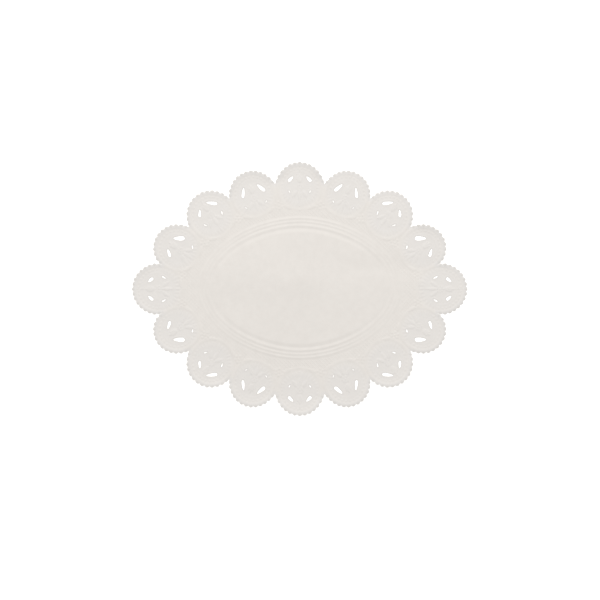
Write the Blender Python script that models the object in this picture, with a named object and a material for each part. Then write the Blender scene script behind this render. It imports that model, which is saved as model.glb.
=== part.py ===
# An oval paper doily, die-cut and embossed in the manner of lace, lying flat.
# Sixteen round lobes with a toothed edge stand round a plain raised field.
# It is one sheet, so it is one solid: a flat underside, and a top with its embossing and folds.
# Origin: the middle of the underside. +X runs along the doily's length, +Z is up.

import math
from collections import namedtuple

import bmesh
import bpy
from mathutils import Vector
from mathutils.geometry import delaunay_2d_cdt

MM = 0.001

# Sheet
SHEET_THICKNESS = 1.0 * MM

# Lobes of one quarter, from the lobe at the doily's end round to the one at its side:
# centre x and y, radius to the tips of the teeth, mm, and the way the lobe faces, degrees
Lobe = namedtuple("Lobe", "x y radius facing")
QUARTER_LOBES = (
    Lobe(x=106.6, y=0.0, radius=19.6, facing=0.0),
    Lobe(x=92.4, y=30.8, radius=18.0, facing=35.2),
    Lobe(x=66.8, y=55.7, radius=18.6, facing=54.0),
    Lobe(x=35.3, y=71.2, radius=18.0, facing=72.1),
    Lobe(x=0.0, y=77.4, radius=18.2, facing=90.0),
)

# Teeth along the lobes' edge
TOOTH_PITCH = 4.1 * MM
TOOTH_DEPTH = 1.15 * MM
TOOTH_PROFILE = (0.0, 0.77, 1.0, 0.77)  # rise of a tooth's points, from one valley to the next

# Notches between the lobes: how far they stand outside the line through both middles, at
# least, and the stretch of each lobe's arc that eases out to meet the next lobe there
NOTCH_RISE = 4.8 * MM
NOTCH_EASE = math.radians(28.0)

# Openings of each lobe of the quarter, in the lobe's own frame, mm: side is along the edge,
# towards the doily's side, out is away from its middle, lean is the tip's tilt, degrees
Opening = namedtuple("Opening", "lobe side out length width lean")
OPENINGS = (
    Opening(lobe=0, side=6.8, out=5.4, length=4.6, width=1.9, lean=41),
    Opening(lobe=0, side=-6.8, out=5.4, length=4.6, width=1.9, lean=-41),
    Opening(lobe=1, side=6.9, out=2.8, length=8.4, width=2.9, lean=36),
    Opening(lobe=1, side=-6.4, out=2.7, length=6.1, width=1.8, lean=-38),
    Opening(lobe=2, side=5.7, out=6.8, length=8.3, width=2.2, lean=47),
    Opening(lobe=2, side=-6.1, out=5.8, length=5.4, width=1.6, lean=-38),
    Opening(lobe=3, side=7.4, out=2.8, length=7.6, width=2.3, lean=32),
    Opening(lobe=3, side=-6.5, out=3.2, length=7.6, width=1.8, lean=-23),
    Opening(lobe=4, side=6.8, out=5.3, length=5.0, width=1.95, lean=43),
    Opening(lobe=4, side=-6.8, out=5.3, length=5.0, width=1.95, lean=-43),
)
OPENING_STEPS = 12
OPENING_TAPER = 0.42  # how much the tip is drawn in, 0 would be an ellipse
OPENING_BLUNTNESS = 0.7  # below 1 the inner end is flatter than an ellipse's

# Plain field in the middle: a pointed oval, pressed a little off the cut edge's middle
FIELD_HALF_LENGTH = 66.5 * MM
FIELD_HALF_WIDTH = 43.5 * MM
FIELD_SHIFT_Y = 0.7 * MM
OVAL_POWER = 1.87  # 2 would be an ellipse, 1 a diamond
OVAL_STEPS = 72
DEEPEST_OFFSET = -0.8 * FIELD_HALF_WIDTH  # inside this the field counts as all one depth

# Ridges and grooves round the field, from its raised edge outwards: distance outside the
# field's edge and height over the plain sheet, mm
Line = namedtuple("Line", "offset height")
BORDER_LINES = (
    Line(offset=-1.4, height=0.48),
    Line(offset=1.3, height=0.18),
    Line(offset=3.3, height=0.43),
    Line(offset=5.0, height=0.17),
    Line(offset=6.4, height=0.32),
    Line(offset=7.7, height=0.12),
    Line(offset=9.0, height=0.26),
    Line(offset=10.7, height=0.00),
)
END_SHARE = 0.5  # of those heights is left at the doily's two ends,
END_FADE_FROM_X = 25.0 * MM  # as they fade from here, on either side of the middle,
END_FADE = 40.0 * MM  # over this length

# Round ridge in each lobe. Its crest runs RING_INSET inside the tips of the teeth, and round
# the lobe's back it swings out to RING_BACK_INSET and sinks to RING_BACK_HEIGHT
RING_INSET = 2.3 * MM
RING_BACK_INSET = 0.4 * MM
RING_HEIGHT = 0.18 * MM
RING_BACK_HEIGHT = 0.10 * MM
RING_HALF_WIDTH = 2.2 * MM
RING_SWING_FROM = math.radians(75.0)  # off the way that the lobe faces
RING_SWING = math.radians(90.0)
RING_STEPS = 30
RING_FOOT_FROM = math.radians(115.0)  # past this the ridge has a foot outside its lobe too

# Round bosses: one in each lobe, inwards of its openings, and one inside each notch
BOSS_FROM_OPENINGS = 6.6 * MM
BOSS_FROM_NOTCH_LINE = 11.8 * MM
BOSS_FOOT_RADIUS = 3.0 * MM
BOSS_CROWN_RADIUS = 1.4 * MM
BOSS_HEIGHT = 0.28 * MM
BOSS_STEPS = 8

# How the sheet lies: an old fold along it stands up as a very low roof
ROOF_RISE = 1.15 * MM
ROOF_Y = 6.0 * MM  # where its ridge runs
ROOF_SLANT_FROM_X = -10.0 * MM  # from here towards -X the ridge strays to +Y,
ROOF_SLANT = 0.1  # by this share of the way
ROOF_SHARE = 0.45  # what the half at +X keeps of the rise
ROOF_CHANGE = 34.0 * MM  # length over which the rise passes from one half's to the other's
ROOF_SHARPNESS = 1.3  # 1 would be straight slopes, more makes them hollow
ROOF_FULL_LENGTH = 1.15  # over 1 the ridge keeps its height for a stretch before it falls

# Smaller folds and dents: a line from start to end, its rise and how far it spreads, mm
Fold = namedtuple("Fold", "start end rise spread")
FOLDS = (
    Fold(start=(-1.0, 82.0), end=(-1.5, 12.0), rise=0.26, spread=11.0),
    Fold(start=(-1.0, 0.0), end=(0.0, -80.0), rise=-0.28, spread=11.0),
    Fold(start=(-8.0, 4.0), end=(2.0, 5.0), rise=0.34, spread=9.0),
    Fold(start=(34.0, 16.0), end=(96.0, 15.0), rise=-0.42, spread=8.5),
    Fold(start=(-70.0, -30.0), end=(-30.0, -44.0), rise=0.2, spread=14.0),
)

# How far each lobe's rim curls up, mm, anticlockwise from the lobe at +X. A curl starts
# CURL_DEPTH inside the edge and steepens outwards, over the outer part of its lobe alone
RIM_CURLS = (0.0, 0.9, -0.1, -0.1, 0.8, 0.7, 0.0, 0.3,
             0.5, 0.4, 0.75, 0.75, 0.85, 0.3, 0.6, -0.1)
CURL_DEPTH = 14.0 * MM
CURL_FROM = 3.0 * MM  # that far out of the lobe's middle it sets in,
CURL_GROWTH = 8.0 * MM  # and over this length it comes to its full share
CURL_END = 6.0 * MM  # that far outside the lobe it has ended,
CURL_FADE = 5.0 * MM  # having faded over this length

# Points that carry the folds over the plain field: their pitch, and how far they stay
# inside the border's innermost line
FIELD_GRID = 7.0 * MM
FIELD_GRID_CLEARANCE = 2.8 * MM

NEWTON_STEPS = 8
SAME_PLACE = 0.001 * MM  # corners of the two skins closer than this in plan belong together
CUT_TOLERANCE = 0.0001 * MM  # points closer than this are joined as the skins are drawn

PAPER_COLOUR = (0.80, 0.77, 0.73, 1.0)
PAPER_ROUGHNESS = 0.85


def clear_scene():
    for thing in list(bpy.data.objects):
        bpy.data.objects.remove(thing, do_unlink=True)


def paper_material():
    material = bpy.data.materials.new("bleached_paper")
    material.use_nodes = True
    shader = material.node_tree.nodes["Principled BSDF"]
    shader.inputs["Base Color"].default_value = PAPER_COLOUR
    shader.inputs["Roughness"].default_value = PAPER_ROUGHNESS
    shader.inputs["Metallic"].default_value = 0.0
    return material


def clamp(value):
    return min(max(value, 0.0), 1.0)


def ease(value):
    value = clamp(value)
    return value * value * (3.0 - 2.0 * value)


def mixed(first, last, share):
    return first + (last - first) * share


def all_round(steps):
    # Evenly spaced angles, from half a turn back to half a turn on
    return [math.pi * (2 * step / steps - 1) for step in range(steps)]


def circle(centre, radius, steps):
    return [centre + Vector((math.cos(turn), math.sin(turn))) * radius for turn in all_round(steps)]


class PlacedLobe:
    # One lobe at its real place, mirrored from the quarter into its own
    def __init__(self, index, mirror_x, mirror_y):
        row = QUARTER_LOBES[index]
        facing = math.radians(row.facing)
        self.index = index
        self.radius = row.radius * MM
        self.centre = Vector((row.x * mirror_x, row.y * mirror_y)) * MM
        self.out = Vector((math.cos(facing) * mirror_x, math.sin(facing) * mirror_y))
        self.side = Vector((-self.out.y, self.out.x)) * mirror_x * mirror_y

    def point(self, side, out):
        return self.centre + self.side * side + self.out * out

    def at_angle(self, angle, radius):
        return self.centre + Vector((math.cos(angle), math.sin(angle))) * radius

    def at_bearing(self, bearing, radius):
        return self.point(radius * math.sin(bearing), radius * math.cos(bearing))

    def bearing(self, point):
        # A point's angle off the way that the lobe faces, half a turn at its back
        offset = point - self.centre
        return math.atan2(offset.dot(self.side), offset.dot(self.out))

    def inset(self, point):
        # How far inside the circle through the teeth's tips a point lies
        return self.radius - (point - self.centre).length


def lobes_in_order():
    # Anticlockwise from the lobe at +X
    last = len(QUARTER_LOBES) - 1
    upward = list(range(last))
    downward = list(range(last, 0, -1))
    lobes = [PlacedLobe(index, 1, 1) for index in upward]
    lobes += [PlacedLobe(index, -1, 1) for index in downward]
    lobes += [PlacedLobe(index, -1, -1) for index in upward]
    lobes += [PlacedLobe(index, 1, -1) for index in downward]
    return lobes


def neighbours(lobes):
    # Each lobe with the one after it
    return zip(lobes, lobes[1:] + lobes[:1])


def notch(first, second):
    # The valley between two neighbouring lobes, where their edges meet
    radius_first = first.radius - TOOTH_DEPTH
    radius_second = second.radius - TOOTH_DEPTH
    between = second.centre - first.centre
    gap = between.length
    along = (gap ** 2 + radius_first ** 2 - radius_second ** 2) / (2 * gap)
    crossing = math.sqrt(max(0.0, radius_first ** 2 - along ** 2))
    forward = between / gap
    outward = Vector((forward.y, -forward.x))
    return first.centre + forward * along + outward * max(crossing, NOTCH_RISE)


def toothed_outline(lobes):
    points = []
    per_tooth = len(TOOTH_PROFILE)
    notches = [notch(lobe, after) for lobe, after in neighbours(lobes)]
    for position, lobe in enumerate(lobes):
        before = notches[position - 1] - lobe.centre
        after = notches[position] - lobe.centre
        start = math.atan2(before.y, before.x)
        sweep = (math.atan2(after.y, after.x) - start) % (2 * math.pi)
        valley = lobe.radius - TOOTH_DEPTH
        steps = round(sweep * lobe.radius / TOOTH_PITCH) * per_tooth
        for step in range(steps):
            turn = sweep * step / steps
            # the first and the last tooth grow out of the notches
            room = min(1.0, step / per_tooth, (steps - step) / per_tooth)
            near_before = max(0.0, 1.0 - turn / NOTCH_EASE) ** 2
            near_after = max(0.0, 1.0 - (sweep - turn) / NOTCH_EASE) ** 2
            radius = valley + room * TOOTH_DEPTH * TOOTH_PROFILE[step % per_tooth]
            radius += (before.length - valley) * near_before
            radius += (after.length - valley) * near_after
            points.append(lobe.at_angle(start + turn, radius))
    return points


def leaf_opening(lobe, row):
    # Blunt at its inner end and drawn to a tip at its outer one
    lean = math.radians(row.lean)
    points = []
    for step in range(OPENING_STEPS):
        turn = 2 * math.pi * step / OPENING_STEPS
        reach = math.cos(turn)
        if reach < 0.0:
            along = -0.5 * row.length * abs(reach) ** OPENING_BLUNTNESS
        else:
            along = 0.5 * row.length * reach
        across = 0.5 * row.width * math.sin(turn) * (1.0 - OPENING_TAPER * reach)
        side = row.side - along * math.sin(lean) + across * math.cos(lean)
        out = row.out + along * math.cos(lean) + across * math.sin(lean)
        points.append(lobe.point(side * MM, out * MM))
    return points


def field_line(offset):
    # A pointed oval, offset outwards from the field's edge
    points = []
    for step in range(OVAL_STEPS):
        turn = 2 * math.pi * step / OVAL_STEPS
        across = math.copysign(abs(math.cos(turn)) ** (2 / OVAL_POWER), math.cos(turn))
        up = math.copysign(abs(math.sin(turn)) ** (2 / OVAL_POWER), math.sin(turn))
        points.append(Vector((
            (FIELD_HALF_LENGTH + offset) * across,
            (FIELD_HALF_WIDTH + offset) * up + FIELD_SHIFT_Y,
        )))
    return points


def field_offset(point):
    # How far outside the field's edge a point lies, found by Newton's method
    offset = 0.0
    for _ in range(NEWTON_STEPS):
        half_length = FIELD_HALF_LENGTH + offset
        half_width = FIELD_HALF_WIDTH + offset
        long_part = (abs(point.x) / half_length) ** OVAL_POWER
        wide_part = (abs(point.y - FIELD_SHIFT_Y) / half_width) ** OVAL_POWER
        slope = OVAL_POWER * (long_part / half_length + wide_part / half_width)
        if slope == 0.0:
            return DEEPEST_OFFSET
        offset = max(offset + (long_part + wide_part - 1.0) / slope, DEEPEST_OFFSET)
    return offset


def field_grid():
    # Staggered rows of points over the plain field, clear of its border's innermost line
    rows = round(FIELD_HALF_WIDTH / FIELD_GRID) + 1
    columns = round(FIELD_HALF_LENGTH / FIELD_GRID) + 1
    points = []
    for row in range(-rows, rows + 1):
        for column in range(-columns, columns + 1):
            x = (column + 0.5 * (row % 2)) * FIELD_GRID
            points.append(Vector((x, row * FIELD_GRID)))
    edge = BORDER_LINES[0].offset * MM - FIELD_GRID_CLEARANCE
    return [point for point in points if field_offset(point) < edge]


def border_relief(point):
    # The border's profile, read by straight lines between its rows
    kept = mixed(1.0, END_SHARE, ease((abs(point.x) - END_FADE_FROM_X) / END_FADE))
    offset = field_offset(point) / MM
    if offset <= BORDER_LINES[0].offset:
        return BORDER_LINES[0].height * MM * kept
    for inner, outer in zip(BORDER_LINES, BORDER_LINES[1:]):
        if offset <= outer.offset:
            share = (offset - inner.offset) / (outer.offset - inner.offset)
            return mixed(inner.height, outer.height, share) * MM * kept
    return BORDER_LINES[-1].height * MM * kept


def ring_swing(bearing):
    # 0 round a lobe's outer side, rising to 1 at its back
    return ease((abs(bearing) - RING_SWING_FROM) / RING_SWING)


def ring_inset(bearing):
    return mixed(RING_INSET, RING_BACK_INSET, ring_swing(bearing))


def ring_line(lobe, outwards, bearings):
    # Points along a lobe's ridge, as far outside its crest as outwards says
    return [lobe.at_bearing(bearing, lobe.radius - ring_inset(bearing) + outwards)
            for bearing in bearings]


def ring_feet(lobes):
    # Points along the ridges' outer feet behind the lobes, where none of the lobes reaches
    bearings = [bearing for bearing in all_round(RING_STEPS) if abs(bearing) > RING_FOOT_FROM]
    points = []
    for lobe in lobes:
        for point in ring_line(lobe, RING_HALF_WIDTH, bearings):
            if all(other.inset(point) < 0.0 for other in lobes):
                points.append(point)
    return points


def ring_relief(point, lobes):
    relief = 0.0
    for lobe in lobes:
        bearing = lobe.bearing(point)
        crest = mixed(RING_HEIGHT, RING_BACK_HEIGHT, ring_swing(bearing))
        away = abs(lobe.inset(point) - ring_inset(bearing))
        relief = max(relief, crest * clamp(1.0 - away / RING_HALF_WIDTH))
    return relief


def boss_places(lobes):
    places = []
    for lobe in lobes:
        outs = [row.out for row in OPENINGS if row.lobe == lobe.index]
        places.append(lobe.point(0.0, sum(outs) / len(outs) * MM - BOSS_FROM_OPENINGS))
    for lobe, after in neighbours(lobes):
        between = after.centre - lobe.centre
        inward = Vector((-between.y, between.x)).normalized()
        places.append((lobe.centre + after.centre) / 2.0 + inward * BOSS_FROM_NOTCH_LINE)
    return places


def boss_relief(point, bosses):
    nearest = min((point - boss).length for boss in bosses)
    return BOSS_HEIGHT * clamp((BOSS_FOOT_RADIUS - nearest) / (BOSS_FOOT_RADIUS - BOSS_CROWN_RADIUS))


def roof_rise(point):
    # The old fold along the doily: a ridge that falls away to the edge all round
    half_length = (QUARTER_LOBES[0].x + QUARTER_LOBES[0].radius) * MM
    half_width = (QUARTER_LOBES[-1].y + QUARTER_LOBES[-1].radius) * MM
    ridge = ROOF_Y + ROOF_SLANT * max(0.0, ROOF_SLANT_FROM_X - point.x)
    reach = half_width - math.copysign(ridge, point.y - ridge)
    across = max(0.0, 1.0 - abs(point.y - ridge) / reach) ** ROOF_SHARPNESS
    along = ease(ROOF_FULL_LENGTH * (1.0 - abs(point.x) / half_length))
    kept = mixed(ROOF_SHARE, 1.0, ease(0.5 - point.x / ROOF_CHANGE))
    return ROOF_RISE * across * along * kept


def folds_rise(point):
    rise = 0.0
    for fold in FOLDS:
        start = Vector(fold.start) * MM
        run = Vector(fold.end) * MM - start
        share = clamp((point - start).dot(run) / run.length_squared)
        away = (point - start - run * share).length / (fold.spread * MM)
        rise += fold.rise * MM * math.exp(-away * away)
    return rise


def curl_rise(point, lobes):
    rise = 0.0
    for lobe, curl in zip(lobes, RIM_CURLS):
        inset = lobe.inset(point)
        bend = clamp(1.0 - inset / CURL_DEPTH) ** 2
        outer_part = ease(((point - lobe.centre).dot(lobe.out) - CURL_FROM) / CURL_GROWTH)
        own_share = ease((inset + CURL_END) / CURL_FADE)
        rise += curl * MM * bend * outer_part * own_share
    return rise


def top_height(point, lobes, bosses):
    # Nowhere thinner than the plain sheet
    lie = roof_rise(point) + folds_rise(point) + curl_rise(point, lobes)
    relief = max(border_relief(point), ring_relief(point, lobes), boss_relief(point, bosses))
    return SHEET_THICKNESS + max(0.0, lie) + relief


def inside_loop(point, loop):
    # Even-odd test against a closed loop of points
    hits = 0
    for position, here in enumerate(loop):
        there = loop[position - 1]
        if (here.y > point.y) != (there.y > point.y):
            share = (point.y - here.y) / (there.y - here.y)
            if point.x < here.x + share * (there.x - here.x):
                hits += 1
    return hits % 2 == 1


def triangulate(outline, holes, guides, loose):
    # Flat triangles between the outline and the holes, with edges along the guides and
    # corners at the loose points
    points = []
    edges = []
    for loop in [outline] + holes + guides:
        first = len(points)
        count = len(loop)
        points += loop
        edges += [(first + step, first + (step + 1) % count) for step in range(count)]
    points += loose
    flat, _, faces, _, _, _ = delaunay_2d_cdt(points, edges, [], 0, CUT_TOLERANCE)
    kept = []
    for face in faces:
        middle = (flat[face[0]] + flat[face[1]] + flat[face[2]]) / 3.0
        if not inside_loop(middle, outline):
            continue
        if any(inside_loop(middle, hole) for hole in holes):
            continue
        kept.append(face)
    return flat, kept


def add_skin(mesh, flat, faces, height_at, upward):
    # One side of the sheet, each triangle turned to face up or down
    corners = [mesh.verts.new((point.x, point.y, height_at(point))) for point in flat]
    for face in faces:
        a, b, c = (corners[index] for index in face)
        turn = (b.co.x - a.co.x) * (c.co.y - a.co.y) - (b.co.y - a.co.y) * (c.co.x - a.co.x)
        order = (a, b, c) if (turn > 0.0) == upward else (a, c, b)
        mesh.faces.new(order)


def open_loops(mesh):
    # One corner loop for each edge that has a single face
    return [edge.link_loops[0] for edge in mesh.edges if len(edge.link_loops) == 1]


def add_walls(mesh):
    # The cut edge: joins each boundary edge of the top to the one below it
    def key(vertex):
        return (round(vertex.co.x / SAME_PLACE), round(vertex.co.y / SAME_PLACE))

    top = {}
    bottom = {}
    for loop in open_loops(mesh):
        start = loop.vert
        end = loop.link_loop_next.vert
        if max(start.co.z, end.co.z) > 0.5 * SHEET_THICKNESS:
            top[(key(start), key(end))] = (start, end)
        else:
            bottom[(key(end), key(start))] = (end, start)
    for ends, (start, end) in top.items():
        below_start, below_end = bottom[ends]
        mesh.faces.new((end, start, below_start))
        mesh.faces.new((end, below_start, below_end))


def build_doily():
    lobes = lobes_in_order()
    bosses = boss_places(lobes)
    outline = toothed_outline(lobes)
    holes = [leaf_opening(lobe, row) for lobe in lobes for row in OPENINGS
             if row.lobe == lobe.index]

    guides = [field_line(line.offset * MM) for line in BORDER_LINES]
    for outwards in (0.0, -RING_HALF_WIDTH):
        guides += [ring_line(lobe, outwards, all_round(RING_STEPS)) for lobe in lobes]
    for radius in (BOSS_FOOT_RADIUS, BOSS_CROWN_RADIUS):
        guides += [circle(boss, radius, BOSS_STEPS) for boss in bosses]

    mesh = bmesh.new()
    flat, faces = triangulate(outline, holes, guides, field_grid() + ring_feet(lobes))
    add_skin(mesh, flat, faces, lambda point: top_height(point, lobes, bosses), True)
    flat, faces = triangulate(outline, holes, [], [])
    add_skin(mesh, flat, faces, lambda point: 0.0, False)
    stray = [vertex for vertex in mesh.verts if not vertex.link_faces]
    bmesh.ops.delete(mesh, geom=stray, context="VERTS")
    add_walls(mesh)

    data = bpy.data.meshes.new("doily")
    mesh.to_mesh(data)
    mesh.free()
    data.materials.append(paper_material())
    doily = bpy.data.objects.new("doily", data)
    bpy.context.scene.collection.objects.link(doily)


clear_scene()
build_doily()
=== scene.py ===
import math

import bpy
import numpy as np
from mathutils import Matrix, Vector
from mathutils.geometry import delaunay_2d_cdt
from mathutils.kdtree import KDTree


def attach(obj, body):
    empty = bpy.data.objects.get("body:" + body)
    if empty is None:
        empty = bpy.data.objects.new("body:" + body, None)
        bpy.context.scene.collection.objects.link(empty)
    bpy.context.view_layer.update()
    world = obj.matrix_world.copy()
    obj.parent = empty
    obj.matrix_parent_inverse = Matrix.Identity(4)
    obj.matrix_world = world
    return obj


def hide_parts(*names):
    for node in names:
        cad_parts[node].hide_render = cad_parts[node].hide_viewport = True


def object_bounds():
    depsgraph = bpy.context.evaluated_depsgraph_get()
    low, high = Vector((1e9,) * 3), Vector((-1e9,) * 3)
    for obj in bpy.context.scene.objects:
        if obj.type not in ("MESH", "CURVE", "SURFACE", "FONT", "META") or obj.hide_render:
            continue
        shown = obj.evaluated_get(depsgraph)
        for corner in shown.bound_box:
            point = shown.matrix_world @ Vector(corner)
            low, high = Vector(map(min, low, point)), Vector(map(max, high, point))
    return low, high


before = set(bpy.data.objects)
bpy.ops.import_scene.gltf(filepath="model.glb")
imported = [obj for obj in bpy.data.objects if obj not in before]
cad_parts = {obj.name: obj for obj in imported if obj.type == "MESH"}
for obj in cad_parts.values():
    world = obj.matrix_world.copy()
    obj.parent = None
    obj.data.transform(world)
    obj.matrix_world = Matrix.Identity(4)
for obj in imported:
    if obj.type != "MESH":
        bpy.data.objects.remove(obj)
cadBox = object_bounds()
print("frame loaded, CAD box", cadBox)

# An oval paper doily, die-cut and embossed in one stroke, so it is one piece.
# Its plan is drawn in millimetres, +X along the doily and +Y across it, and is fitted to the
# frame's length when the mesh is made. Its embossed face looks up.

# one quarter's lobes, from the end of the doily round to its side: middle, radius to the tips
# of the teeth, and the way each one faces, in degrees
lobeRows = (
    {"x": 106.6, "y": 0.0, "radius": 19.6, "facing": 0.0},
    {"x": 92.4, "y": 30.8, "radius": 18.0, "facing": 35.2},
    {"x": 66.8, "y": 55.7, "radius": 18.6, "facing": 54.0},
    {"x": 35.3, "y": 71.2, "radius": 18.0, "facing": 72.1},
    {"x": 0.0, "y": 77.4, "radius": 18.2, "facing": 90.0},
)
halfLength = lobeRows[0]["x"] + lobeRows[0]["radius"]
halfWidth = lobeRows[-1]["y"] + lobeRows[-1]["radius"]
metresPerUnit = (cadBox[1][0] - cadBox[0][0]) / (2.0 * halfLength)  # one unit is a millimetre


def bump(distance, reach):
    # a soft round-topped ridge, 1 at its crest and 0 from reach outwards
    return np.clip(1.0 - (distance / reach) ** 2, 0.0, None) ** 2


def ease(value):
    value = np.clip(value, 0.0, 1.0)
    return value * value * (3.0 - 2.0 * value)


def mixed(first, last, share):
    return first + (last - first) * share


def unitAt(angle):
    return np.array((math.cos(angle), math.sin(angle)))


def onCircles(centre, radius, angle):
    return centre + radius * np.stack((np.cos(angle), np.sin(angle)), 1)


def distanceTo(points, targets):
    tree = KDTree(len(targets))
    for index, (x, y) in enumerate(targets):
        tree.insert((x, y, 0.0), index)
    tree.balance()
    return np.array([tree.find((x, y, 0.0))[2] for x, y in points])


def placeLobes():
    # all sixteen, anticlockwise from the right-hand end
    last = len(lobeRows) - 1
    quarters = (
        (1, 1, range(last)),
        (-1, 1, range(last, 0, -1)),
        (-1, -1, range(last)),
        (1, -1, range(last, 0, -1)),
    )
    lobes = []
    for mirrorX, mirrorY, order in quarters:
        for kind in order:
            row = lobeRows[kind]
            mirror = np.array((mirrorX, mirrorY))
            out = unitAt(math.radians(row["facing"])) * mirror
            lobes.append({
                "kind": kind,
                "centre": np.array((row["x"], row["y"])) * mirror,
                "radius": row["radius"],
                "out": out,
                "side": np.array((-out[1], out[0])) * mirrorX * mirrorY,
            })
    return lobes


def inLobe(lobe, points):
    # plan points as side and out in a lobe's own frame, and as how far inside its circle
    offset = points - lobe["centre"]
    side = offset @ lobe["side"]
    out = offset @ lobe["out"]
    return side, out, lobe["radius"] - np.hypot(side, out)


cutEdge = {
    "toothPitch": 4.1,
    "toothDepth": 1.15,
    "toothFullness": 0.75,  # 1 is the top of a sine, less makes blunter teeth
    "toothSteps": 8,
    "notchRise": 4.8,  # the notches stand at least this far outside the line of the middles
    "notchEase": 28.0,  # degrees of each lobe's arc that flare out to the notch
    "beadInset": 1.3,  # a bead sits in each tooth, this far inside its tip
}


def notchBetween(first, second):
    # where the roots of two lobes' teeth meet, in the plan
    radiusFirst = first["radius"] - cutEdge["toothDepth"]
    radiusSecond = second["radius"] - cutEdge["toothDepth"]
    between = second["centre"] - first["centre"]
    gap = np.linalg.norm(between)
    along = (gap ** 2 + radiusFirst ** 2 - radiusSecond ** 2) / (2.0 * gap)
    crossing = math.sqrt(max(0.0, radiusFirst ** 2 - along ** 2))
    forward = between / gap
    outward = np.array((forward[1], -forward[0]))
    return first["centre"] + forward * along + outward * max(crossing, cutEdge["notchRise"])


def toothedOutline(lobes):
    # the cut edge, and the place of each tooth's bead
    steps = cutEdge["toothSteps"]
    scallop = np.sin(np.pi * np.arange(steps) / steps) ** cutEdge["toothFullness"]
    notchEase = math.radians(cutEdge["notchEase"])
    outline = []
    beads = []
    for position, lobe in enumerate(lobes):
        before = notchBetween(lobes[position - 1], lobe) - lobe["centre"]
        after = notchBetween(lobe, lobes[(position + 1) % len(lobes)]) - lobe["centre"]
        start = math.atan2(before[1], before[0])
        sweep = (math.atan2(after[1], after[0]) - start) % (2.0 * math.pi)
        valley = lobe["radius"] - cutEdge["toothDepth"]
        teeth = round(sweep * lobe["radius"] / cutEdge["toothPitch"])
        step = np.arange(teeth * steps)
        turn = sweep * step / len(step)
        # the first and the last tooth grow out of the notches
        room = np.minimum(1.0, np.minimum(step, len(step) - step) / steps)
        fromStart = np.clip(1.0 - turn / notchEase, 0.0, None) ** 2
        toEnd = np.clip(1.0 - (sweep - turn) / notchEase, 0.0, None) ** 2
        flare = (np.linalg.norm(before) - valley) * fromStart
        flare += (np.linalg.norm(after) - valley) * toEnd
        radius = valley + flare + room * cutEdge["toothDepth"] * np.tile(scallop, teeth)
        outline.append(onCircles(lobe["centre"], radius[:, None], start + turn))
        middle = steps // 2 + steps * np.arange(teeth)
        inner = radius[middle] - cutEdge["beadInset"]
        beads.append(onCircles(lobe["centre"], inner[:, None], start + turn[middle]))
    return np.concatenate(outline), np.concatenate(beads)


# punched openings in a lobe's own frame: side runs along the edge, out away from the middle,
# lean is the tip's tilt in degrees
leafOpenings = (
    {"lobe": 0, "side": 6.8, "out": 5.4, "length": 4.6, "width": 1.9, "lean": 41},
    {"lobe": 0, "side": -6.8, "out": 5.4, "length": 4.6, "width": 1.9, "lean": -41},
    {"lobe": 1, "side": 6.9, "out": 2.8, "length": 8.4, "width": 2.9, "lean": 36},
    {"lobe": 1, "side": -6.4, "out": 2.7, "length": 6.1, "width": 1.8, "lean": -38},
    {"lobe": 2, "side": 5.7, "out": 6.8, "length": 8.3, "width": 2.2, "lean": 47},
    {"lobe": 2, "side": -6.1, "out": 5.8, "length": 5.4, "width": 1.6, "lean": -38},
    {"lobe": 3, "side": 7.4, "out": 2.8, "length": 7.6, "width": 2.3, "lean": 32},
    {"lobe": 3, "side": -6.5, "out": 3.2, "length": 7.6, "width": 1.8, "lean": -23},
    {"lobe": 4, "side": 6.8, "out": 5.3, "length": 5.0, "width": 1.95, "lean": 43},
    {"lobe": 4, "side": -6.8, "out": 5.3, "length": 5.0, "width": 1.95, "lean": -43},
)
slitOpenings = (
    {"lobe": 0, "side": 8.6, "out": -4.7, "length": 3.6, "width": 0.8, "lean": 150},
    {"lobe": 0, "side": -8.6, "out": -4.7, "length": 3.6, "width": 0.8, "lean": -150},
    {"lobe": 1, "side": 7.3, "out": -9.4, "length": 2.7, "width": 0.75, "lean": 135},
    {"lobe": 2, "side": 7.6, "out": -3.8, "length": 3.1, "width": 0.65, "lean": 160},
    {"lobe": 2, "side": -7.8, "out": -4.1, "length": 2.8, "width": 0.7, "lean": -145},
    {"lobe": 3, "side": 7.8, "out": -8.5, "length": 2.0, "width": 0.5, "lean": 140},
    {"lobe": 3, "side": -7.8, "out": -8.5, "length": 2.0, "width": 0.45, "lean": -140},
    {"lobe": 4, "side": 7.7, "out": -4.4, "length": 2.2, "width": 0.55, "lean": 150},
    {"lobe": 4, "side": -7.7, "out": -4.4, "length": 2.2, "width": 0.55, "lean": -150},
)
opening = {
    "steps": 26,
    "taper": 0.42,  # how much the tip is drawn in, 0 would be an ellipse
    "bluntness": 0.7,  # below 1 the inner end is flatter than an ellipse's
}


def leafLoop(lobe, row):
    # blunt at its inner end, drawn to a tip at its outer one
    lean = math.radians(row["lean"])
    turn = 2.0 * np.pi * np.arange(opening["steps"]) / opening["steps"]
    reach = np.cos(turn)
    along = np.where(reach < 0.0, -np.abs(reach) ** opening["bluntness"], reach)
    along *= 0.5 * row["length"]
    across = 0.5 * row["width"] * np.sin(turn) * (1.0 - opening["taper"] * reach)
    side = row["side"] - along * math.sin(lean) + across * math.cos(lean)
    out = row["out"] + along * math.cos(lean) + across * math.sin(lean)
    return lobe["centre"] + np.outer(side, lobe["side"]) + np.outer(out, lobe["out"])


def drawPlan():
    # all that the die cuts
    lobes = placeLobes()
    outline, beads = toothedOutline(lobes)
    holes = [leafLoop(lobe, row) for lobe in lobes for row in leafOpenings + slitOpenings
             if row["lobe"] == lobe["kind"]]
    print("cut edge", len(outline), "points,", len(holes), "openings")
    return {
        "lobes": lobes,
        "outline": outline,
        "beads": beads,
        "holes": holes,
        "holeEdges": np.concatenate(holes),
    }


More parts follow.
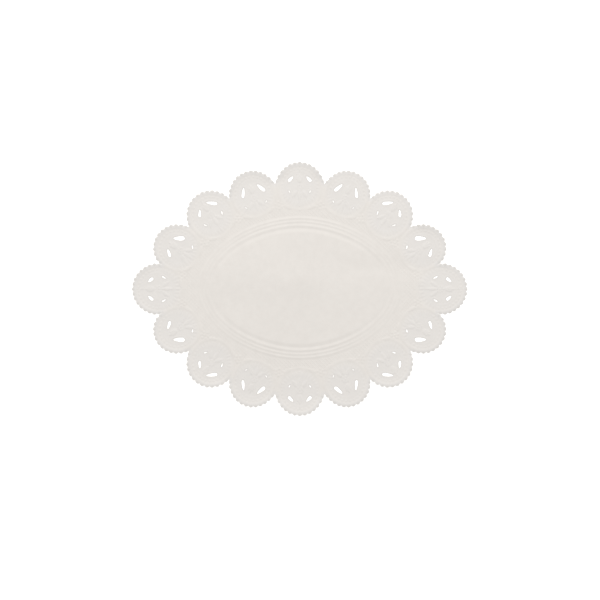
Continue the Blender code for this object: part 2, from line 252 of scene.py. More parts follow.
field = {
    "halfLength": 66.5,
    "halfWidth": 43.5,
    "shift": 0.7,  # the die pressed the middle a little off the cut edge's middle
    "power": 1.87,  # 2 would be an ellipse, 1 a diamond
    "newtonSteps": 12,
    "leastSlope": 1e-6,  # keeps Newton's method from dividing by nothing
    "deepest": 0.8,  # share of its half width inside which it counts as all one depth
    "lineSamples": 2881,
    "endShare": 0.5,  # of the border's relief is left at the doily's two ends,
    "fadeFrom": 25.0,  # as it fades from this far off the middle
    "fadeLength": 40.0,
}

# embossed lines round the plain field: distance outside its edge, and height over the sheet
borderLines = (
    {"offset": -1.4, "height": 0.48},
    {"offset": 1.3, "height": 0.18},
    {"offset": 3.3, "height": 0.43},
    {"offset": 5.0, "height": 0.17},
    {"offset": 6.4, "height": 0.32},
    {"offset": 7.7, "height": 0.12},
    {"offset": 9.0, "height": 0.26},
    {"offset": 10.7, "height": 0.00},
)
lineOffsets = [row["offset"] for row in borderLines]


def fieldLine(offset, step):
    # the pointed oval at a distance outside the field's edge, evenly spaced along it
    turn = np.linspace(0.0, 2.0 * np.pi, field["lineSamples"])
    power = 2.0 / field["power"]
    x = (field["halfLength"] + offset) * np.sign(np.cos(turn)) * np.abs(np.cos(turn)) ** power
    y = (field["halfWidth"] + offset) * np.sign(np.sin(turn)) * np.abs(np.sin(turn)) ** power
    run = np.concatenate(([0.0], np.cumsum(np.hypot(np.diff(x), np.diff(y)))))
    count = round(run[-1] / step)
    at = run[-1] * np.arange(count) / count
    return np.stack((np.interp(at, run, x), np.interp(at, run, y) + field["shift"]), 1)


def fieldOffset(points):
    # how far outside the field's edge each point lies, by Newton's method
    offset = np.zeros(len(points))
    power = field["power"]
    for _ in range(field["newtonSteps"]):
        length = field["halfLength"] + offset
        width = field["halfWidth"] + offset
        longPart = (np.abs(points[:, 0]) / length) ** power
        widePart = (np.abs(points[:, 1] - field["shift"]) / width) ** power
        slope = power * (longPart / length + widePart / width)
        offset += (longPart + widePart - 1.0) / np.maximum(slope, field["leastSlope"])
        offset = np.maximum(offset, -field["deepest"] * field["halfWidth"])
    return offset


def borderRelief(points, offset):
    height = np.interp(offset, lineOffsets, [row["height"] for row in borderLines])
    fade = ease((np.abs(points[:, 0]) - field["fadeFrom"]) / field["fadeLength"])
    return height * mixed(1.0, field["endShare"], fade)


petal = {
    "height": 0.24,
    "width": 2.6,
    "leastHalfWidth": 1e-3,  # so that nothing is divided by 0 past its ends
    "taper": 0.3,
    "fullness": 0.6,  # less than 1 makes a petal's sides steep and its top flat
    "veinHalfWidth": 0.5,
    "veinDepth": 0.45,  # share of the petal's height
}


def petalRelief(side, out, at, length, lean):
    # an embossed petal, pillowed, with a sunk vein
    tilt = math.radians(lean)
    x = side - at[0]
    y = out - at[1]
    along = (-x * math.sin(tilt) + y * math.cos(tilt)) / (0.5 * length)
    across = x * math.cos(tilt) + y * math.sin(tilt)
    room = np.clip(1.0 - along ** 2, 0.0, None)
    half = 0.5 * petal["width"] * np.sqrt(room) * (1.0 - petal["taper"] * along)
    level = np.abs(across) / np.maximum(half, petal["leastHalfWidth"])
    pillow = np.clip(1.0 - level ** 2, 0.0, None) ** petal["fullness"]
    vein = bump(across, petal["veinHalfWidth"]) * room
    return petal["height"] * np.maximum(0.0, pillow - petal["veinDepth"] * vein)


rosette = {
    "bossHeight": 0.24,
    "bossShare": 0.42,  # these three are shares of a rosette's radius
    "petalsAt": 0.68,
    "petalHalfLength": 0.36,
    "petalFullness": 0.7,
}


def rosetteRelief(side, out, petals, radius):
    # a boss with a ring of round petals
    distance = np.hypot(side, out)
    boss = rosette["bossHeight"] * bump(distance, rosette["bossShare"] * radius)
    ring = bump(distance - rosette["petalsAt"] * radius, rosette["petalHalfLength"] * radius)
    rays = (0.5 + 0.5 * np.cos(petals * np.arctan2(side, out))) ** rosette["petalFullness"]
    return boss + petal["height"] * ring * rays


medallion = {
    "ringInset": 2.3,  # the round ridge inside the teeth,
    "ringHeight": 0.18,
    "ringHalfWidth": 2.2,
    "backInset": 0.4,  # which swings wider and sinks round the lobe's back,
    "backHeight": 0.1,
    "swingFrom": 75.0,  # from this many degrees off the way that the lobe faces,
    "swing": 90.0,  # over this many more
    "outerFrom": -7.0,  # the outer part's pattern grows from here, out from the lobe's middle,
    "outerGrowth": 8.0,  # over this length, and inside that is the fan
    "hairInset": 7.5,  # a hair line inside the pearls
    "hairHeight": 0.05,
    "hairHalfWidth": 0.8,
    "fanRibs": 34,  # if the fan went all round
    "fanInset": 4.6,
    "fanHalfLength": 3.4,
    "fanFullness": 0.8,
    "fanHeight": 0.13,
    "pearlInset": 5.0,
    "pearlPitch": 3.0,
    "pearlRadius": 1.2,
    "pearlHeight": 0.15,
    "pearlInnerShare": 0.35,  # of that height on the fan's side
    "rosetteInwards": 6.6,  # from the middle of the leaf openings
    "rosettePetals": 8,
    "rosetteRadius": 3.0,
    "sprigSpread": 2.1,
    "tailReach": 6.2,  # from the rosette's middle to those of the tail's petals
}
sprigPetals = (  # between the leaf openings, out is from their middle
    {"lean": 0, "out": 0.6, "length": 7.4},
    {"lean": 21, "out": -0.2, "length": 5.6},
    {"lean": -21, "out": -0.2, "length": 5.6},
)
tailPetals = (  # on the rosette's other side
    {"lean": 180, "length": 6.4},
    {"lean": 142, "length": 6.0},
    {"lean": -142, "length": 6.0},
)


def medallionRelief(lobe, side, out, inset):
    # ring, fan, pearls, sprig and rosette of one lobe
    bearing = np.arctan2(side, out)
    swing = ease((np.degrees(np.abs(bearing)) - medallion["swingFrom"]) / medallion["swing"])
    ringInset = mixed(medallion["ringInset"], medallion["backInset"], swing)
    ringHeight = mixed(medallion["ringHeight"], medallion["backHeight"], swing)
    height = ringHeight * bump(inset - ringInset, medallion["ringHalfWidth"])

    outer = ease((out - medallion["outerFrom"]) / medallion["outerGrowth"])
    hair = outer * bump(inset - medallion["hairInset"], medallion["hairHalfWidth"])
    height = np.maximum(height, medallion["hairHeight"] * hair)
    ribs = (0.5 + 0.5 * np.cos(bearing * medallion["fanRibs"])) ** medallion["fanFullness"]
    fan = ribs * bump(inset - medallion["fanInset"], medallion["fanHalfLength"]) * (1.0 - outer)
    height = np.maximum(height, medallion["fanHeight"] * fan)

    pearlRing = lobe["radius"] - medallion["pearlInset"]
    pearls = round(2.0 * math.pi * pearlRing / medallion["pearlPitch"])
    along = (bearing * pearls / (2.0 * math.pi)) % 1.0 - 0.5
    along *= 2.0 * math.pi * pearlRing / pearls
    fromPearl = np.hypot(along, inset - medallion["pearlInset"])
    pearlHeight = medallion["pearlHeight"] * mixed(medallion["pearlInnerShare"], 1.0, outer)
    height = np.maximum(height, pearlHeight * bump(fromPearl, medallion["pearlRadius"]))

    middle = np.mean([row["out"] for row in leafOpenings if row["lobe"] == lobe["kind"]])
    for row in sprigPetals:
        at = (-medallion["sprigSpread"] * math.sin(math.radians(row["lean"])), middle + row["out"])
        height = np.maximum(height, petalRelief(side, out, at, row["length"], row["lean"]))
    hub = middle - medallion["rosetteInwards"]
    height = np.maximum(height, rosetteRelief(
        side, out - hub, medallion["rosettePetals"], medallion["rosetteRadius"]))
    reach = medallion["tailReach"]
    for row in tailPetals:
        lean = math.radians(row["lean"])
        at = (-reach * math.sin(lean), hub + reach * math.cos(lean))
        height = np.maximum(height, petalRelief(side, out, at, row["length"], row["lean"]))
    return height


gapFlower = {
    "inwards": 11.8,  # from the line between the middles of the two lobes beside it
    "petals": 6,
    "radius": 3.7,
    "leafSide": 6.4,
    "leafInwards": 2.4,
    "leafLength": 6.6,
    "leafLean": 55.0,
    "reach": 10.0,  # nothing of it lies further from its middle
}


def gapFlowers(lobes, points):
    # the flower inside each notch, with a leaf on either side along the medallions' backs
    height = np.zeros(len(points))
    for position, lobe in enumerate(lobes):
        after = lobes[(position + 1) % len(lobes)]
        forward = after["centre"] - lobe["centre"]
        forward = forward / np.linalg.norm(forward)
        inward = np.array((-forward[1], forward[0]))
        middle = 0.5 * (lobe["centre"] + after["centre"]) + gapFlower["inwards"] * inward
        shift = points - middle
        near = np.hypot(shift[:, 0], shift[:, 1]) < gapFlower["reach"]
        side = shift[near] @ forward
        out = shift[near] @ inward
        flower = rosetteRelief(side, out, gapFlower["petals"], gapFlower["radius"])
        for hand in (-1, 1):
            at = (gapFlower["leafSide"] * hand, gapFlower["leafInwards"])
            flower = np.maximum(flower, petalRelief(
                side, out, at, gapFlower["leafLength"], -gapFlower["leafLean"] * hand))
        height[near] = np.maximum(height[near], flower)
    return height


pressing = {
    "beadRadius": 1.05,
    "beadHeight": 0.3,
    "lipWidth": 0.75,  # each opening's edge has a fine raised lip
    "lipHeight": 0.08,
    "lobeReach": 2.0,  # how far outside a lobe's circle its medallion is still drawn
    "netFrom": 11.0,  # the net ground starts outside the border's last line
    "netFade": 0.8,
    "netClearOfLobe": 1.1,
    "netClearOfFlower": 0.08,
    "thinLobe": 0.45,  # how thin the paper is pressed within a lobe, from 0 to 1,
    "thinFrom": -1.0,  # growing from this far inside its circle
    "thinGrowth": 8.0,
    "thinEdge": 0.55,  # and how much more at the teeth,
    "edgeReach": 3.6,  # ending this far inside the cut edge
    "edgeGrowth": 2.6,
    "paintedShadeBead": 0.6,  # painted shade round the beads, the cut edge and the openings, each with its reach
    "paintedShadeBeadReach": 1.7,
    "paintedShadeRim": 0.12,
    "paintedShadeRimReach": 2.6,
    "paintedShadeHole": 0.8,
    "paintedShadeHoleReach": 0.9,
}


def embossing(plan, points):
    # height of the stamped pattern over the plain sheet, where its net ground shows, how much
    # painted shade darkens it round beads, cut edge and openings, and how thin it is pressed
    offset = fieldOffset(points)
    height = borderRelief(points, offset)
    net = ease((offset - pressing["netFrom"]) / pressing["netFade"])
    thin = np.zeros(len(points))
    for lobe in plan["lobes"]:
        side, out, inset = inLobe(lobe, points)
        grown = ease((inset - pressing["thinFrom"]) / pressing["thinGrowth"])
        thin = np.maximum(thin, pressing["thinLobe"] * grown)
        near = inset > -pressing["lobeReach"]
        relief = medallionRelief(lobe, side[near], out[near], inset[near])
        height[near] = np.maximum(height[near], relief)
        net[inset > -pressing["netClearOfLobe"]] = 0.0
    flowers = gapFlowers(plan["lobes"], points)
    height = np.maximum(height, flowers)
    net *= 1.0 - ease(flowers / pressing["netClearOfFlower"])

    toBead = distanceTo(points, plan["beads"])
    toHole = distanceTo(points, plan["holeEdges"])
    toEdge = distanceTo(points, plan["outline"])
    lip = bump(toHole - pressing["lipWidth"], pressing["lipWidth"])
    height = np.maximum(height, pressing["beadHeight"] * bump(toBead, pressing["beadRadius"]))
    height = np.maximum(height, pressing["lipHeight"] * lip)
    thin += pressing["thinEdge"] * ease((pressing["edgeReach"] - toEdge) / pressing["edgeGrowth"])
    # painted shade: darker round the cut edge, the beads and the openings, standing in for their
    # shadows
    paintedShade = pressing["paintedShadeRim"] * bump(toEdge, pressing["paintedShadeRimReach"])
    paintedShade = np.maximum(paintedShade, pressing["paintedShadeBead"] * bump(toBead, pressing["paintedShadeBeadReach"]))
    paintedShade = np.maximum(paintedShade, pressing["paintedShadeHole"] * bump(toHole, pressing["paintedShadeHoleReach"]))
    return height, {"net": net, "paintedShade": paintedShade, "thin": thin}


lie = {
    "lift": 0.18,  # the flat stretches lie this far over the table,
    "lowest": 0.02,  # and no point of the sheet lies lower than this
    "roofRise": 2.4,  # an old fold along the doily stands up as a very low roof
    "roofY": 6.0,  # where its ridge runs,
    "slantFrom": -10.0,  # and from here towards -X it strays to +Y
    "slant": 0.1,  # by this share of the way
    "ridgeRound": 3.5,
    "roofSharpness": 1.3,  # 1 would be straight slopes, more makes them hollow
    "fullLength": 1.15,  # over 1 the ridge keeps its height for a stretch before it falls
    "rightShare": 0.45,  # what the half at +X keeps of the rise
    "changeLength": 34.0,  # over which it passes from one half's to the other's
    "curlDepth": 14.0,  # a lobe's curl starts this far inside its edge,
    "curlFrom": 3.0,  # sets in this far out of its middle
    "curlGrowth": 8.0,
    "curlEnd": 6.0,  # and has ended this far outside its circle
    "curlFade": 5.0,
    "cockles": 9,  # slow waves that damp air leaves in thin paper,
    "cockleSeed": 11,  # in headings, lengths and phases drawn by chance
    "cockleHeight": 0.027,
    "shortestCockle": 26.0,
    "longestCockle": 60.0,
}

# how far each lobe's rim curls up off the table, anticlockwise from the right-hand end
lobeCurls = (0.0, 0.9, -0.1, -0.1, 0.8, 0.7, 0.0, 0.3, 0.5, 0.4, 0.75, 0.75, 0.85, 0.3, 0.6, -0.1)

# small folds and dents: a line, its rise and how far it spreads
folds = (
    {"start": (-1.0, 82.0), "end": (-1.5, 12.0), "rise": 0.26, "spread": 11.0},
    {"start": (-1.0, 0.0), "end": (0.0, -80.0), "rise": -0.28, "spread": 11.0},
    {"start": (-8.0, 4.0), "end": (2.0, 5.0), "rise": 0.34, "spread": 9.0},
    {"start": (34.0, 16.0), "end": (96.0, 15.0), "rise": -0.42, "spread": 8.5},
    {"start": (-70.0, -30.0), "end": (-30.0, -44.0), "rise": 0.2, "spread": 14.0},
)


def roofRelief(points):
    x = points[:, 0]
    y = points[:, 1]
    ridge = lie["roofY"] + lie["slant"] * np.clip(lie["slantFrom"] - x, 0.0, None)
    fromRidge = np.sqrt((y - ridge) ** 2 + lie["ridgeRound"] ** 2) - lie["ridgeRound"]
    reach = halfWidth - np.sign(y - ridge) * ridge
    across = np.clip(1.0 - fromRidge / reach, 0.0, None) ** lie["roofSharpness"]
    along = ease(lie["fullLength"] * (1.0 - np.abs(x) / halfLength))
    kept = mixed(lie["rightShare"], 1.0, ease(0.5 - x / lie["changeLength"]))
    return lie["roofRise"] * across * along * kept


def lieOfSheet(lobes, points):
    # the broad form: the roof, dents, curled lobes and slow waves
    height = lie["lift"] + roofRelief(points)
    for fold in folds:
        start = np.array(fold["start"])
        run = np.array(fold["end"]) - start
        share = np.clip((points - start) @ run / (run @ run), 0.0, 1.0)
        away = points - (start + share[:, None] * run)
        height += fold["rise"] * np.exp(-(away ** 2).sum(1) / fold["spread"] ** 2)
    for lobe, curl in zip(lobes, lobeCurls):
        _, out, inset = inLobe(lobe, points)
        bend = np.clip(1.0 - inset / lie["curlDepth"], 0.0, 1.0) ** 2
        bend *= ease((out - lie["curlFrom"]) / lie["curlGrowth"])
        bend *= ease((inset + lie["curlEnd"]) / lie["curlFade"])
        height += curl * bend
    chance = np.random.default_rng(lie["cockleSeed"])
    for _ in range(lie["cockles"]):
        heading = unitAt(chance.uniform(0.0, math.pi))
        wave = 2.0 * math.pi / chance.uniform(lie["shortestCockle"], lie["longestCockle"])
        phase = chance.uniform(0.0, 2.0 * math.pi)
        height += lie["cockleHeight"] * np.sin(points @ heading * wave + phase)
    return np.maximum(height, lie["lowest"])


skins = {
    "thickness": 0.2,  # real paper is 0.1, drawn a little over so that its cut edge shows
    "underShare": 0.65,  # of the pattern's height is sunk into the underside
    "rimOver": 0.9,  # a medallion's rings of points start this far outside the teeth,
    "rimStep": 0.56,  # with this pitch along a ring
    "rimDepth": 5.9,  # down to this inset,
    "ringStep": 0.86,  # then with this one
    "ringDepth": 8.0,  # down to this inset, and from there with the net's
    "ringRow": 0.475,
    "netStep": 0.66,
    "netFrom": 11.6,  # outside the field's edge
    "netClear": 1.2,  # and that far from the medallions
    "lineStep": 1.0,  # along the border's lines,
    "lineRow": 0.5,  # and between rows of points over them,
    "linesFrom": -2.0,  # which start here, outside the field's edge
    "lineClear": 0.25,
    "easeRows": (-2.8, -4.2),  # two sparser rows lead over to the plain field's points
    "easeStep": 1.7,
    "plainStep": 2.4,
    "plainFrom": -5.6,
    "edgeClear": 0.3,  # loose points keep these distances from the cut edges
    "holeClear": 0.25,
    "underStep": 1.25,  # the underside carries the same pattern in fewer points
    "underLineStep": 2.2,
    "underPlainFrom": -3.0,
    "underClear": 0.7,
    "weld": 1e-5,  # points of the plan nearer than this would become one
    "slice": 4000,  # points tested at a time against a loop
    "sharpEdge": 60.0,  # degrees, so the cut edges stay crisp and the relief is smooth
}
hexRow = math.sqrt(0.75)  # between the rows of a grid of even triangles, for a pitch of 1


def hexGrid(step):
    rows = np.arange(-halfWidth, halfWidth, step * hexRow)
    columns = np.arange(-halfLength, halfLength, step)
    x, y = np.meshgrid(columns, rows)
    x = x + 0.5 * step * (np.arange(len(rows)) % 2)[:, None]
    return np.stack((x.ravel(), y.ravel()), 1)


def insideLoop(points, loop):
    # even-odd test, in slices so that it stays small
    size = skins["slice"]
    ahead = np.roll(loop, -1, axis=0)
    inside = np.zeros(len(points), dtype=bool)
    rise = np.where(ahead[:, 1] == loop[:, 1], 1.0, ahead[:, 1] - loop[:, 1])
    for first in range(0, len(points), size):
        part = points[first:first + size]
        y = part[:, 1][:, None]
        straddles = (loop[:, 1] > y) != (ahead[:, 1] > y)
        crossing = loop[:, 0] + (y - loop[:, 1]) * (ahead[:, 0] - loop[:, 0]) / rise
        hits = straddles & (part[:, 0][:, None] < crossing)
        inside[first:first + size] = hits.sum(1) % 2 == 1
    return inside


def insideHole(points, hole):
    # the same, tried only on points within the opening's own box
    near = ((points > hole.min(0)) & (points < hole.max(0))).all(1)
    inside = np.zeros(len(points), dtype=bool)
    inside[near] = insideLoop(points[near], hole)
    return inside


def onPaper(plan, points, edgeClear, holeClear):
    # the points that lie on the paper, clear of what is cut
    points = points[insideLoop(points, plan["outline"])]
    points = points[distanceTo(points, plan["outline"]) > edgeClear]
    for hole in plan["holes"]:
        points = points[~insideHole(points, hole)]
    return points[distanceTo(points, plan["holeEdges"]) > holeClear]


def medallionPoints(lobe):
    # rings of points from the teeth to the lobe's middle, finer where the pattern needs it
    rings = []
    radius = lobe["radius"] + skins["rimOver"]
    while radius > 0.5 * skins["netStep"]:
        inset = lobe["radius"] - radius
        if inset < skins["rimDepth"]:
            step, row = skins["rimStep"], skins["ringRow"]
        elif inset < skins["ringDepth"]:
            step, row = skins["ringStep"], skins["ringRow"]
        else:
            step, row = skins["netStep"], skins["netStep"] * hexRow
        count = max(5, round(2.0 * math.pi * radius / step))
        angle = 2.0 * np.pi * (np.arange(count) + 0.5 * (len(rings) % 2)) / count
        rings.append(onCircles(lobe["centre"], radius, angle))
        radius -= row
    return np.concatenate(rings)


def facePoints(plan):
    # medallions, border lines, net ground and plain field of the embossed face
    lobes = plan["lobes"]
    groups = []
    for position, lobe in enumerate(lobes):
        ring = medallionPoints(lobe)
        for other in (lobes[position - 1], lobes[(position + 1) % len(lobes)]):
            ring = ring[inLobe(lobe, ring)[2] >= inLobe(other, ring)[2]]
        groups.append(ring)
    rows = [row for row in np.arange(skins["linesFrom"], skins["netFrom"], skins["lineRow"])
            if np.abs(row - np.array(lineOffsets)).min() > skins["lineClear"]]
    groups += [fieldLine(offset, skins["lineStep"]) for offset in lineOffsets + rows]
    groups += [fieldLine(offset, skins["easeStep"]) for offset in skins["easeRows"]]
    net = hexGrid(skins["netStep"])
    net = net[fieldOffset(net) > skins["netFrom"]]
    for lobe in lobes:
        net = net[inLobe(lobe, net)[2] < -skins["netClear"]]
    plain = hexGrid(skins["plainStep"])
    groups += [net, plain[fieldOffset(plain) < skins["plainFrom"]]]
    return onPaper(plan, np.concatenate(groups), skins["edgeClear"], skins["holeClear"])


def undersidePoints(plan):
    groups = [fieldLine(offset, skins["underLineStep"]) for offset in lineOffsets]
    net = hexGrid(skins["underStep"])
    plain = hexGrid(skins["plainStep"])
    groups.append(net[fieldOffset(net) > skins["netFrom"]])
    groups.append(plain[fieldOffset(plain) < skins["underPlainFrom"]])
    return onPaper(plan, np.concatenate(groups), skins["underClear"], skins["underClear"])


def triangulate(plan, inner):
    # triangles between the cut loops and the loose points, all turned anticlockwise
    loops = [plan["outline"]] + plan["holes"]
    points = np.concatenate(loops + [inner])
    edges = []
    onLoops = 0
    for loop in loops:
        count = len(loop)
        edges += [(onLoops + step, onLoops + (step + 1) % count) for step in range(count)]
        onLoops += count
    wholeHull = 0  # the kind of result: every triangle, those in notches and openings too
    placed, _, faces, origins, _, _ = delaunay_2d_cdt(
        [tuple(point) for point in points], edges, [], wholeHull, skins["weld"])
    if len(placed) != len(points):
        print("warning: the cut loops cross, vertices", len(placed), "of", len(points))
    faces = np.array([origin[0] for origin in origins])[np.array(faces)]

    # only a triangle with all its corners on cut loops can lie outside the paper
    doubtful = (faces < onLoops).all(1)
    middles = points[faces[doubtful]].mean(1)
    onSheet = insideLoop(middles, plan["outline"])
    for hole in plan["holes"]:
        onSheet &= ~insideHole(middles, hole)
    kept = ~doubtful
    kept[doubtful] = onSheet
    faces = faces[kept]
    first, second, third = (points[faces[:, corner]] for corner in range(3))
    ab = second - first
    ac = third - first
    clockwise = ab[:, 0] * ac[:, 1] < ab[:, 1] * ac[:, 0]
    faces[clockwise] = faces[clockwise][:, ::-1]
    return points, faces


def edgeWalls(plan, faces, below):
    # the thickness of the paper along every cut, joining the face to the underside
    sides = {side for face in faces.tolist() for side in zip(face, face[1:] + face[:1])}
    walls = []
    first = 0
    for loop in [plan["outline"]] + plan["holes"]:
        for step in range(len(loop)):
            a = first + step
            b = first + (step + 1) % len(loop)
            if (a, b) not in sides:
                a, b = b, a
            walls.append((b, a, a + below))
            walls.append((b, a + below, b + below))
        first += len(loop)
    return walls


def loopArea(loop):
    x, y = loop.T
    return abs((x * np.roll(y, -1) - np.roll(x, -1) * y).sum()) / 2.0


def buildDoily(plan):
    face, faceTriangles = triangulate(plan, facePoints(plan))
    under, underTriangles = triangulate(plan, undersidePoints(plan))
    print("triangles", len(faceTriangles), "on the face,", len(underTriangles), "underneath")

    faceHeight, faceMarks = embossing(plan, face)
    underHeight, underMarks = embossing(plan, under)
    faceZ = lieOfSheet(plan["lobes"], face) + skins["thickness"] + faceHeight
    underZ = lieOfSheet(plan["lobes"], under) + skins["underShare"] * underHeight
    places = np.concatenate((np.column_stack((face, faceZ)), np.column_stack((under, underZ))))
    faces = faceTriangles.tolist() + (underTriangles[:, ::-1] + len(face)).tolist()
    faces += edgeWalls(plan, faceTriangles, len(face))
    print("pattern embossed")

    mesh = bpy.data.meshes.new("laceDoily")
    mesh.from_pydata((places * metresPerUnit).tolist(), [], faces)
    mesh.validate()
    for name in faceMarks:
        attribute = mesh.attributes.new(name, "FLOAT", "POINT")
        values = np.concatenate((faceMarks[name], underMarks[name])).astype(np.float32)
        attribute.data.foreach_set("value", values)
    mesh.shade_smooth()
    mesh.set_sharp_from_angle(angle=math.radians(skins["sharpEdge"]))
    doily = bpy.data.objects.new("laceDoily", mesh)
    bpy.context.scene.collection.objects.link(doily)
    return doily


def linear(hexColour):
    # an sRGB hex value as linear colour, by the sRGB standard's own numbers
    parts = [int(hexColour[place:place + 2], 16) / 255.0 for place in (1, 3, 5)]
    parts = [part / 12.92 if part <= 0.04045 else ((part + 0.055) / 1.055) ** 2.4
             for part in parts]
    return (*parts, 1.0)


def addNode(tree, kind, settings=None, links=None):
    # one node with its settings, its plain socket values and what feeds it
    node = tree.nodes.new(kind)
    for name, value in (settings or {}).items():
        setattr(node, name, value)
    for socket, source in (links or {}).items():
        if isinstance(source, bpy.types.NodeSocket):
            tree.links.new(source, node.inputs[socket])
        else:
            node.inputs[socket].default_value = source
    return node


paper = {
    "colour": "#E7E2DC",  # bleached wood pulp, a touch warm
    "shade": "#E4DFD9",  # the same pulp where it lies thicker
    "thin": "#E3E0DD",  # the lace, pressed thinner, lets some of the white table through
    "paintedShadeColour": "#CFCCC8",  # painted shade round the beads, the cut edge and the openings, a darker pulp standing in for their shadows
    "paintedShadeStrength": 0.75,
    "cloud": 5.0,  # mm, the cloudy look of thin paper held to the light
    "cloudDetail": 5.0,
    "cloudRoughness": 0.62,
    "cloudFrom": 0.35,  # of the noise's range, where it begins to turn from colour to shade
    "cloudTo": 0.65,
    "fibre": 0.35,  # mm, drawn some ten times as coarse as real ones, so that they show,
    "fibreRise": 0.06,  # mm, and standing up further than they do
    "fibreBump": 0.35,
    "fibreDetail": 3.0,
    "fibreRoughness": 0.7,
    "fibreTangle": 1.4,
    "netPitch": 2.1,  # mm between the stamped net's lines
    "netTurn": 45.0,  # degrees, so they run on the bias
    "netRise": 0.045,
    "netEdges": (0.15, 0.65),  # from a line's crest to its foot, in a wave of 0 to 1
    "smooth": 0.68,  # roughness of pressed pulp, and of the loose fibres on it
    "fluffy": 0.86,
    "refraction": 1.5,
}


def bleachedPaper():
    # tissue-weight paper, stamped between a steel die and its counter: matt and slightly
    # fluffy, so it has no gloss but a trace where it is pressed hard, and no sheen
    material = bpy.data.materials.new("bleachedEmbossedPaper")
    material.use_nodes = True
    tree = material.node_tree
    shader = tree.nodes["Principled BSDF"]
    perMetre = 1.0 / metresPerUnit
    place = addNode(tree, "ShaderNodeTexCoord").outputs["Object"]
    cloud = addNode(tree, "ShaderNodeTexNoise", None, {
        "Vector": place, "Scale": perMetre / paper["cloud"], "Detail": paper["cloudDetail"],
        "Roughness": paper["cloudRoughness"]})
    fibre = addNode(tree, "ShaderNodeTexNoise", None, {
        "Vector": place, "Scale": perMetre / paper["fibre"], "Detail": paper["fibreDetail"],
        "Roughness": paper["fibreRoughness"], "Distortion": paper["fibreTangle"]})
    thin = addNode(tree, "ShaderNodeAttribute", {"attribute_name": "thin"})
    paintedShade = addNode(tree, "ShaderNodeAttribute", {"attribute_name": "paintedShade"})
    net = addNode(tree, "ShaderNodeAttribute", {"attribute_name": "net"})

    # colour: cloudy pulp, thinner in the lace, with painted shade round the beads, the cut edge
    # and the openings
    clouded = addNode(tree, "ShaderNodeMapRange", None, {
        "Value": cloud.outputs["Fac"], "From Min": paper["cloudFrom"],
        "From Max": paper["cloudTo"]})
    pulp = addNode(tree, "ShaderNodeMix", {"data_type": "RGBA"}, {
        0: clouded.outputs["Result"], 6: linear(paper["colour"]), 7: linear(paper["shade"])})
    lace = addNode(tree, "ShaderNodeMix", {"data_type": "RGBA"}, {
        0: thin.outputs["Fac"], 6: pulp.outputs[2], 7: linear(paper["thin"])})
    # painted shade: the mix towards the darker colour round the beads, the cut edge and the
    # openings
    paintedShadeShare = addNode(tree, "ShaderNodeMath", {"operation": "MULTIPLY"}, {
        0: paintedShade.outputs["Fac"], 1: paper["paintedShadeStrength"]})
    colour = addNode(tree, "ShaderNodeMix", {"data_type": "RGBA"}, {
        0: paintedShadeShare.outputs["Value"], 6: lace.outputs[2], 7: linear(paper["paintedShadeColour"])})
    tree.links.new(colour.outputs[2], shader.inputs["Base Color"])

    # the net: two sets of fine raised lines on the bias
    turned = addNode(tree, "ShaderNodeMapping", None, {
        "Vector": place, "Rotation": (0.0, 0.0, math.radians(paper["netTurn"]))})
    axes = addNode(tree, "ShaderNodeSeparateXYZ", None, {"Vector": turned.outputs["Vector"]})
    waves = []
    for axis in ("X", "Y"):
        phase = addNode(tree, "ShaderNodeMath", {"operation": "MULTIPLY"}, {
            0: axes.outputs[axis], 1: perMetre * math.pi / paper["netPitch"]})
        wave = addNode(tree, "ShaderNodeMath", {"operation": "SINE"}, {0: phase.outputs["Value"]})
        size = addNode(tree, "ShaderNodeMath", {"operation": "ABSOLUTE"}, {
            0: wave.outputs["Value"]})
        waves.append(size.outputs["Value"])
    fromLine = addNode(tree, "ShaderNodeMath", {"operation": "MINIMUM"}, {
        0: waves[0], 1: waves[1]})
    crest, foot = paper["netEdges"]
    line = addNode(tree, "ShaderNodeMapRange", {"interpolation_type": "SMOOTHSTEP"}, {
        "Value": fromLine.outputs["Value"], "From Min": crest, "From Max": foot,
        "To Min": 1.0, "To Max": 0.0})
    netLine = addNode(tree, "ShaderNodeMath", {"operation": "MULTIPLY"}, {
        0: line.outputs["Result"], 1: net.outputs["Fac"]})
    fluff = addNode(tree, "ShaderNodeBump", None, {
        "Height": fibre.outputs["Fac"], "Strength": paper["fibreBump"],
        "Distance": paper["fibreRise"] / perMetre})
    relief = addNode(tree, "ShaderNodeBump", None, {
        "Height": netLine.outputs["Value"], "Strength": 1.0,
        "Distance": paper["netRise"] / perMetre, "Normal": fluff.outputs["Normal"]})
    tree.links.new(relief.outputs["Normal"], shader.inputs["Normal"])
    rough = addNode(tree, "ShaderNodeMapRange", None, {
        "Value": fibre.outputs["Fac"], "To Min": paper["smooth"], "To Max": paper["fluffy"]})
    tree.links.new(rough.outputs["Result"], shader.inputs["Roughness"])
    shader.inputs["Metallic"].default_value = 0.0
    shader.inputs["IOR"].default_value = paper["refraction"]
    return material


table = {
    "size": 6.0,  # m
    "colour": "#FAFAF9",
    "glow": 0.5,  # lifts the white sweep to pure white, as a lit table does
    "roughness": 0.7,
}


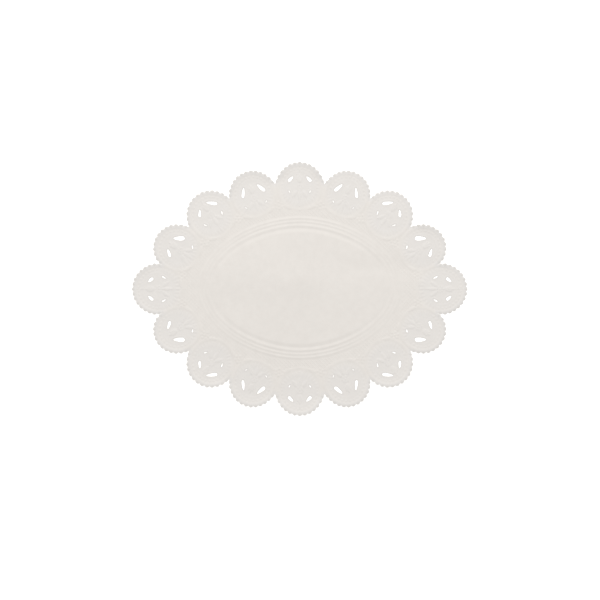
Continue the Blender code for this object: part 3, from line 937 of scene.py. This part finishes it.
def whiteTable():
    # an acrylic sheet lit from below: matt, and white right up to the paper's edge
    bpy.ops.mesh.primitive_plane_add(size=table["size"], location=(0.0, 0.0, 0.0))
    floor = bpy.context.object
    floor.name = "floor"
    material = bpy.data.materials.new("litAcrylicSheet")
    material.use_nodes = True
    shader = material.node_tree.nodes["Principled BSDF"]
    shader.inputs["Base Color"].default_value = linear(table["colour"])
    shader.inputs["Roughness"].default_value = table["roughness"]
    shader.inputs["Emission Color"].default_value = (1.0, 1.0, 1.0, 1.0)
    shader.inputs["Emission Strength"].default_value = table["glow"]
    floor.data.materials.append(material)


studio = {
    "keyPlace": (-0.05, 1.95, 2.1),  # m, over the doily's far side
    "keySize": 1.4,
    "keyPower": 50.0,
    "skyStrength": 0.588,
}


def softLight():
    data = bpy.data.lights.new("keyLight", "AREA")
    data.shape = "SQUARE"
    data.size = studio["keySize"]
    data.energy = studio["keyPower"]
    key = bpy.data.objects.new("keyLight", data)
    key.location = studio["keyPlace"]
    key.rotation_euler = Vector(studio["keyPlace"]).to_track_quat("Z", "Y").to_euler()
    bpy.context.scene.collection.objects.link(key)
    world = bpy.data.worlds.new("softBox")
    world.use_nodes = True
    sky = world.node_tree.nodes["Background"]
    sky.inputs["Color"].default_value = (1.0, 1.0, 1.0, 1.0)
    sky.inputs["Strength"].default_value = studio["skyStrength"]
    bpy.context.scene.world = world


view = {
    "height": 1.6,  # m, straight overhead
    "frameWidth": 0.4509,  # m across the picture at the table
    "sensor": 36.0,  # mm
    "pictureSize": 600,
    "middle": (299.26, 288.4),  # where the doily's middle stands in the picture, pixels
}


def overheadCamera():
    data = bpy.data.cameras.new("camera")
    data.sensor_width = view["sensor"]
    data.lens = view["sensor"] * view["height"] / view["frameWidth"]
    camera = bpy.data.objects.new("camera", data)
    pixel = view["frameWidth"] / view["pictureSize"]
    centre = (view["pictureSize"] - 1) / 2.0
    camera.location = (
        (centre - view["middle"][0]) * pixel,
        (view["middle"][1] - centre) * pixel,
        view["height"],
    )
    bpy.context.scene.collection.objects.link(camera)
    bpy.context.scene.camera = camera


plan = drawPlan()
doily = buildDoily(plan)
doily.data.materials.append(bleachedPaper())
flatArea = loopArea(plan["outline"]) - sum(loopArea(hole) for hole in plan["holes"])
flatArea *= metresPerUnit ** 2
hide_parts("doily")
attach(doily, "root")
print("doily built, flat area", round(flatArea, 4), "square metres")

whiteTable()
softLight()
overheadCamera()
bpy.context.scene.view_settings.view_transform = "Standard"
print("table, light and camera set")
